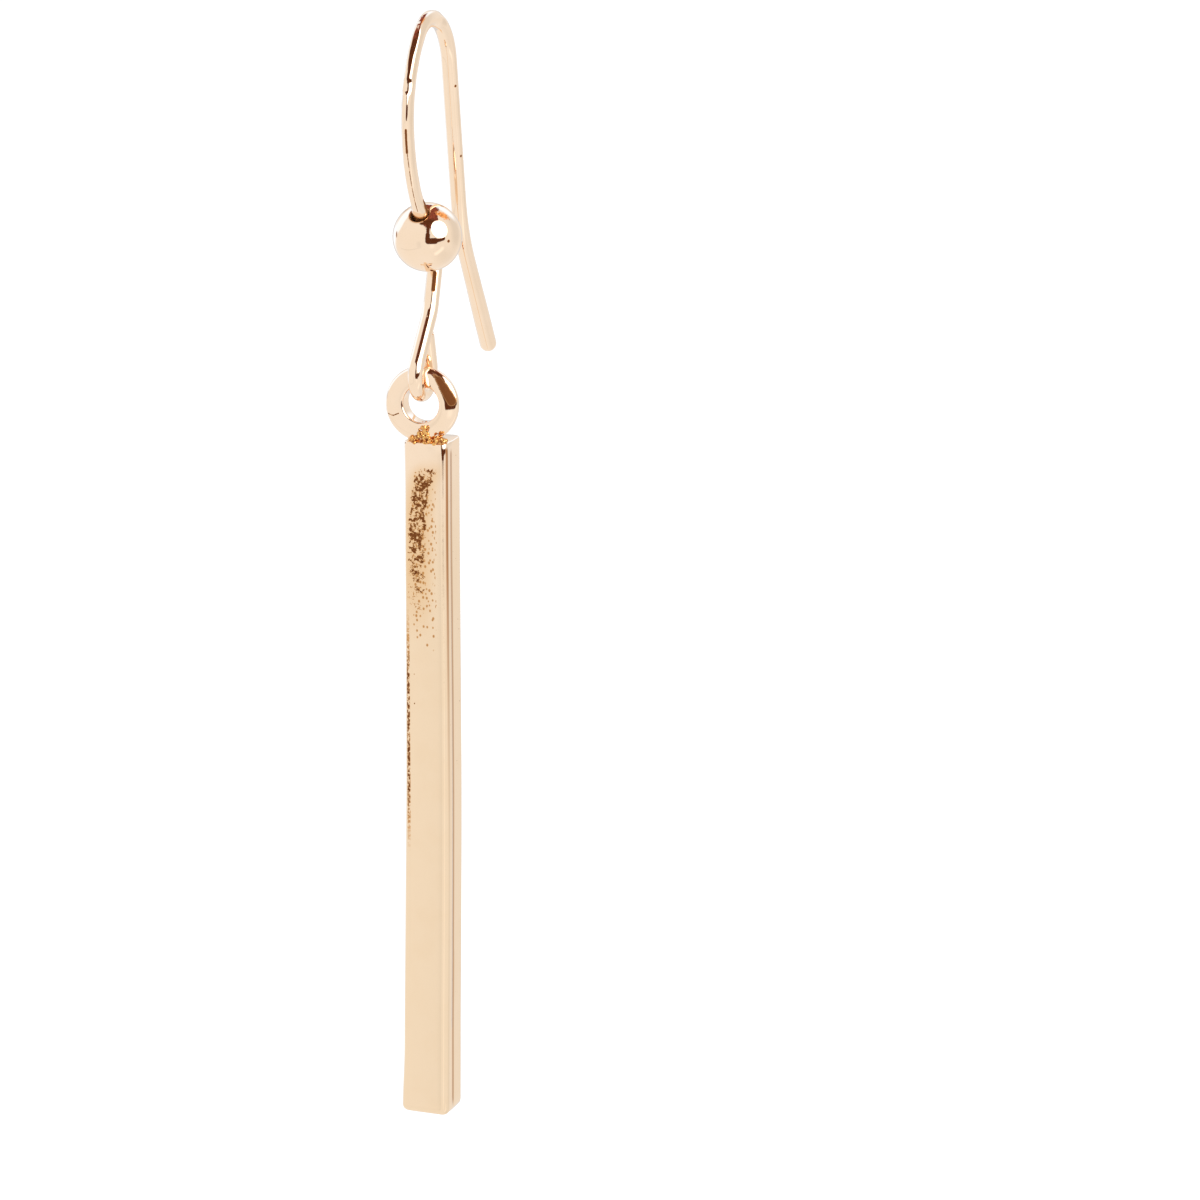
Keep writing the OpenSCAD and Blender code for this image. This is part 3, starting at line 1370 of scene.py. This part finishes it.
class Sight:
    """How a thing looks from the camera, and what a polished ball reflects towards it."""

    def __init__(self, back: Vector) -> None:
        """Works out the right and up directions.

        Args:
            back: Direction from the thing to the camera.
        """
        self.back = back.normalized()
        self.right = Vector((-self.back.y, self.back.x, 0.0)).normalized()
        self.up = self.back.cross(self.right)

    def seen_at(self, across: float, up: float) -> Vector:
        """Direction that a ball reflects at a place on its disc.

        Args:
            across: Place to the right of the ball's centre, in ball radii.
            up: Place above it.

        Returns:
            The unit direction that the reflection comes from.
        """
        n = Vector((across, up, math.sqrt(max(0.0, 1 - across**2 - up**2))))
        d = 2 * n.z * n - Vector((0, 0, 1))
        return (self.right * d.x + self.up * d.y + self.back * d.z).normalized()


@dataclass(frozen=True)
class Patch:
    """A patch of the tent round the object, placed as the bead shows it."""

    start: tuple[float, float]
    end: tuple[float, float]
    half_width: float
    soft: float
    colour: Colour
    ragged: float = 0.0


BROWN = (0.11, 0.035, 0.015)
RUSSET = (0.15, 0.04, 0.025)
# these two look white and grey in gold
CLEAR = (1.12, 1.36, 1.72)
OUTLINE = (0.76, 0.77, 0.80)


def grey(level: float) -> Colour:
    """A colour of the same level in all channels."""
    return (level, level, level)


def patch_group() -> NodeTree:
    """Group for a patch of the tent: a strip with round ends, laid over what is below it.

    Returns:
        The group.
    """
    tree, g, into, out = group(
        "tent_patch",
        [(label, "Vector") for label in ("Direction", "Middle", "Across", "Along")]
        + [(label, "Float") for label in ("Half width", "Half length", "Soft", "Ragged")]
        + [(label, "Color") for label in ("Colour", "Below")],
        (("Colour", "Color"),),
    )
    d = into.outputs["Direction"]
    ragged = into.outputs["Ragged"]
    torn = g.times(g.math("SUBTRACT", g.noise(d, 9.0, 3.0, 0.7), 0.5), ragged)
    across = g.vector("DOT_PRODUCT", d, into.outputs["Across"], "Value")
    along = g.math("ABSOLUTE", g.vector("DOT_PRODUCT", d, into.outputs["Along"], "Value"))
    beyond = g.math("MAXIMUM", g.math("SUBTRACT", along, into.outputs["Half length"]), 0.0)
    away = g.math("ADD", g.math("SQRT", g.line(beyond, beyond, g.times(across, across))), torn)
    low = g.math("SUBTRACT", into.outputs["Half width"], into.outputs["Soft"])
    high = g.math("ADD", into.outputs["Half width"], into.outputs["Soft"])
    front = g.step(g.vector("DOT_PRODUCT", d, into.outputs["Middle"], "Value"), 0.0, 0.05)
    share = g.times(g.under(away, low, high), front)
    # a ragged patch is streaky inside too
    streaks = g.times(g.step(g.noise(d, 22.0, 3.0, 0.6), 0.4, 0.7), g.step(ragged, 0.0, 0.6))
    lit = g.vector("SCALE", into.outputs["Colour"], g.line(streaks, 2.6, 1.0))
    g.set(out, "Colour", g.blend(share, into.outputs["Below"], lit))
    return tree


@dataclass(frozen=True)
class StudioSizes:
    """The floor, the tent and the key light."""

    floor_z: float = -75.0
    floor_r: float = 3000.0
    bead_at: Point = (0.0, -0.362, -9.684)
    # where the bead shows the key light, the height it is aimed from, and its size and power
    key_at: tuple[float, float] = (0.345, 0.225)
    key_z: float = -20.0
    key_half_angle: float = 27.0
    key_distance: float = 420.0
    key_radiance: float = 2.6
    # the light that falls on everything, and the tent's as the gold reflects it
    room_strength: float = 1.1
    tent_strength: float = 0.97
    patches: tuple[Patch, ...] = (
        Patch((0.82, 0.05), (0.74, 0.42), 0.38, 0.25, grey(0.83)),
        Patch((0.45, -0.50), (0.60, -0.60), 0.30, 0.28, grey(0.91)),
        Patch((-0.93, -0.35), (-0.93, 0.10), 0.20, 0.12, CLEAR),
        Patch((-0.76, 0.42), (-0.52, 0.70), 0.30, 0.06, CLEAR),
        Patch((0.10, 0.88), (0.55, 0.72), 0.24, 0.12, CLEAR),
        Patch((0.25, -0.48), (0.42, -0.34), 0.08, 0.10, grey(1.22)),
        Patch((-0.75, -0.32), (-0.25, -0.32), 0.016, 0.02, grey(0.88)),
        Patch((-0.246, -0.20), (-0.241, -0.27), 0.12, 0.10, grey(0.92)),
        Patch((0.134, -0.25), (0.132, -0.27), 0.12, 0.08, grey(1.10)),
        Patch((0.08, 0.44), (0.02, 0.62), 0.42, 0.03, RUSSET, 0.3),
        Patch((0.00, 0.62), (0.00, 0.80), 0.40, 0.03, RUSSET, 0.55),
        Patch((-0.12, 0.42), (0.13, 0.43), 0.18, 0.03, BROWN, 0.12),
        Patch((0.00, -0.13), (0.01, 0.05), 0.13, 0.02, BROWN, 0.05),
        Patch((0.01, 0.05), (0.02, 0.33), 0.09, 0.02, BROWN, 0.08),
        Patch((0.03, -0.125), (0.22, -0.12), 0.17, 0.015, BROWN, 0.03),
        Patch((0.20, -0.13), (0.46, -0.05), 0.10, 0.015, BROWN, 0.03),
        Patch((0.40, 0.63), (0.48, 0.60), 0.20, 0.06, (0.55, 0.26, 0.10), 0.5),
        Patch((-0.88, 0.10), (-0.88, 0.05), 0.06, 0.03, (0.35, 0.18, 0.10)),
        Patch((-0.60, 0.77), (-0.56, 0.80), 0.08, 0.04, (0.40, 0.20, 0.10), 0.20),
        Patch((0.951, -0.11), (0.951, -0.04), 0.16, 0.10, (0.94, 0.91, 0.87)),
        Patch((0.9999, 0.0), (-0.9999, 0.0), 0.42, 0.12, OUTLINE),
    )


class Studio:
    """Builds the floor, the light tent, the key light and the camera."""

    def __init__(self, sizes: StudioSizes, camera: CameraSizes) -> None:
        """Keeps the sizes and works out the camera's directions.

        Args:
            sizes: The studio's sizes.
            camera: The camera's place and lens.
        """
        self.sizes = sizes
        self.camera_sizes = camera
        self.bead_sight = Sight(Vector(camera.place) - Vector(sizes.bead_at))

    def build(self) -> None:
        """Builds all of the studio."""
        self._camera()
        self._floor()
        self._tent()
        self._key()
        scene = bpy.context.scene
        scene.view_settings.view_transform = "Standard"
        if hasattr(scene, "cycles"):
            scene.cycles.glossy_bounces = 10

    def _camera(self) -> None:
        """Builds the camera and makes it the scene's."""
        sizes = self.camera_sizes
        data = bpy.data.cameras.new("camera")
        data.lens, data.sensor_width = sizes.lens, sizes.sensor
        data.clip_start, data.clip_end = 0.02, 12.0
        camera = added("camera", data)
        camera.location = Vector(sizes.place) * MM
        camera.rotation_mode = "QUATERNION"
        a, e = math.radians(sizes.azimuth), math.radians(sizes.elevation)
        back = Vector((math.sin(a) * math.cos(e), -math.cos(a) * math.cos(e), math.sin(e)))
        camera.rotation_quaternion = (-back).to_track_quat("-Z", "Y")
        bpy.context.scene.camera = camera

    def _floor(self) -> None:
        """Builds the pale floor, which the gold doesn't reflect."""
        sizes = self.sizes
        bm = bmesh.new()
        bmesh.ops.create_circle(bm, cap_ends=True, segments=96, radius=sizes.floor_r)
        bmesh.ops.translate(bm, vec=(0, 0, sizes.floor_z), verts=bm.verts)
        floor = finished(bm, "floor")
        material = bpy.data.materials.new("pale_floor")
        material.use_nodes = True
        g = Graph(material.node_tree)
        shader = material.node_tree.nodes["Principled BSDF"]
        at = g.add("TexCoord").outputs["Object"]
        colour = g.blend(g.noise(at, 3.0), (0.93, 0.93, 0.93, 1), (0.95, 0.95, 0.945, 1))
        g.set(shader, "Base Color", colour)
        shader.inputs["Roughness"].default_value = 0.9
        shader.inputs["Specular IOR Level"].default_value = 0.0
        floor.data.materials.append(material)
        floor.visible_glossy = False

    def _tent(self) -> None:
        """Builds the world: plain white light, and the tent's patches in reflections."""
        sizes = self.sizes
        world = bpy.data.worlds.new("light_tent")
        bpy.context.scene.world = world
        world.use_nodes = True
        tree = world.node_tree
        tree.nodes.clear()
        g = Graph(tree)
        direction = g.vector("NORMALIZE", g.add("TexCoord").outputs["Generated"])
        patch_tree = patch_group()
        colour: object = (1.0, 1.0, 1.0, 1.0)
        for patch in sizes.patches:
            a, b = self.bead_sight.seen_at(*patch.start), self.bead_sight.seen_at(*patch.end)
            middle, across = (a + b).normalized(), a.cross(b).normalized()
            inputs = {
                "Direction": direction,
                "Middle": middle,
                "Across": across,
                "Along": across.cross(middle),
                "Half width": patch.half_width,
                "Half length": math.sin(a.angle(b) / 2),
                "Soft": patch.soft,
                "Ragged": patch.ragged,
                "Colour": (*patch.colour, 1.0),
                "Below": colour,
            }
            colour = used(g, patch_tree, inputs).outputs["Colour"]
        tent = g.add("Background", {"Color": colour, "Strength": sizes.tent_strength})
        plain = g.add("Background", {"Color": (1, 1, 1, 1), "Strength": sizes.room_strength})
        reflected = g.add("LightPath").outputs["Is Glossy Ray"]
        both = g.add("MixShader", {0: reflected, 1: plain.outputs[0], 2: tent.outputs[0]})
        out = g.add("OutputWorld")
        tree.links.new(both.outputs[0], out.inputs["Surface"])

    def _key(self) -> None:
        """Builds the round key light, which makes the bead's white spot."""
        sizes = self.sizes
        toward = self.bead_sight.seen_at(*sizes.key_at)
        radius = sizes.key_distance * math.tan(math.radians(sizes.key_half_angle)) * MM
        data = bpy.data.lights.new("key", "AREA")
        data.shape, data.size = "DISK", 2 * radius
        data.energy = sizes.key_radiance * math.pi * math.pi * radius**2
        key = added("key", data)
        key.location = (toward * sizes.key_distance + Vector((0, 0, sizes.key_z))) * MM
        key.rotation_mode = "QUATERNION"
        key.rotation_quaternion = toward.to_track_quat("Z", "Y")


# The whole


WIRE_MARKS = (
    Speck((0.294, 2.679, -3.406), 0.07),
    Speck((0.319, 3.3, -6.672), 0.07),
    # a painted dark reflection runs down the ridge of the hammered land
    *stroke(
        ((0.05, -3.239, -4.40), 0.0),
        ((0.05, -3.187, -4.92), 0.06),
        ((0.05, -3.10, -5.435), 0.06),
        ((0.06, -3.075, -5.528), 0.03),
        ((0.074, -2.884, -6.248), 0.03),
        ((0.074, -2.579, -7.029), 0.03),
        ((0.074, -2.188, -7.778), 0.03),
        ((0.07, -1.81, -8.27), 0.03),
    ),
    # the wire is stained where it leaves the bead, and a painted dark reflection lies on its flank
    # where it goes in
    Speck((0.145, 0.19, -11.42), 0.10, (0.16, -0.06, -12.12)),
    *stroke(
        ((0.38, -1.60, -7.80), 0.0),
        ((0.36, -1.44, -8.02), 0.14),
        ((0.34, -0.95, -8.80), 0.20),
    ),
)
# painted shade darkens the bore and round its mouth, and one small dark dot is a painted reflection
BEAD_MARKS = (
    Speck((-0.05, -1.24, -8.54), 0.44, (0.05, 0.52, -10.83)),
    Speck((1.297, -1.22, -9.641), 0.075),
)
BAR_MARKS = (Speck((-0.72, -1.5, -18.84), 0.05), Speck((1.2, -1.3, -49.45), 0.06))
RING_MARKS = (
    # the seam where the ring's wire was closed
    *stroke(
        ((-1.51, -1.47, -17.567), 0.0),
        ((-1.229, -1.56, -17.616), 0.04),
        ((-0.992, -1.56, -17.508), 0.04),
    ),
    # a painted dark reflection runs down the filed face and widens
    *stroke(
        ((0.50, -1.39, -15.56), 0.0),
        ((0.845, -1.39, -15.854), 0.13),
        ((1.078, -1.39, -16.216), 0.17),
        ((1.259, -1.37, -16.532), 0.20),
        ((1.43, -1.33, -16.84), 0.22),
    ),
)


class Earring:
    """The dressed earring: all pieces with their materials, riding on the frame's bodies."""

    def __init__(self, wire: WireSizes, bead: BeadSizes, drop: DropSizes) -> None:
        """Keeps the sub-assemblies.

        Args:
            wire: The hook's sizes.
            bead: The bead's sizes.
            drop: The sizes of the ring, the bar and the solder.
        """
        self.hook = EarHook(wire)
        self.bead = Bead(bead, self.hook)
        self.drop = Drop(drop)
        self.smith = Goldsmith()

    def build(self) -> None:
        """Builds every piece."""
        wire_gold = Finish("wire_gold", specks=WIRE_MARKS)
        bead_gold = replace(wire_gold, name="bead_gold", specks=BEAD_MARKS, ripple=0.6)
        bar_gold = Finish("bar_gold", ripple=0.8, pits=1.0, specks=BAR_MARKS)
        ring_gold = replace(bar_gold, name="ring_gold", pits=0.0, specks=RING_MARKS, ripple=1.2)
        solder_gold = replace(
            ring_gold,
            name="solder_gold",
            pale=(0.90, 0.56, 0.20),
            deep=(0.70, 0.22, 0.03),
            drift=0.95,
            soot=0.9,
            roughness=0.06,
            specks=(),
        )
        self._place(self.hook.wire(), Body.HOOK, Slot.HOOK, wire_gold, "ear_hook")
        self._place(self.bead.build(), Body.HOOK, Slot.BEAD, bead_gold, "bead")
        self._place(self.drop.bar(), Body.DROP, Slot.BAR, bar_gold, "bar_drop")
        self._place(self.drop.ring(), Body.DROP, Slot.BAR, ring_gold)
        self._place(self.drop.solder(), Body.DROP, Slot.BAR, solder_gold)

    def _place(self, piece: Piece, body: Body, slot: Slot, finish: Finish, *nodes: str) -> None:
        """Gives a piece its material and its place in the frame.

        Args:
            piece: The piece.
            body: The body that it rides on.
            slot: The record's slot that its finish belongs to; not used.
            finish: Its finish.
            nodes: The CAD nodes that it stands for.
        """
        piece.data.materials.append(self.smith.material(finish))
        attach(piece, body.value)
        if nodes:
            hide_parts(*nodes)


def main() -> None:
    """Builds the earring and its studio."""
    logging.basicConfig(level=logging.INFO)
    Studio(StudioSizes(), CameraSizes()).build()
    Earring(WireSizes(), BeadSizes(), DropSizes()).build()


if __name__ == "__main__":
    main()
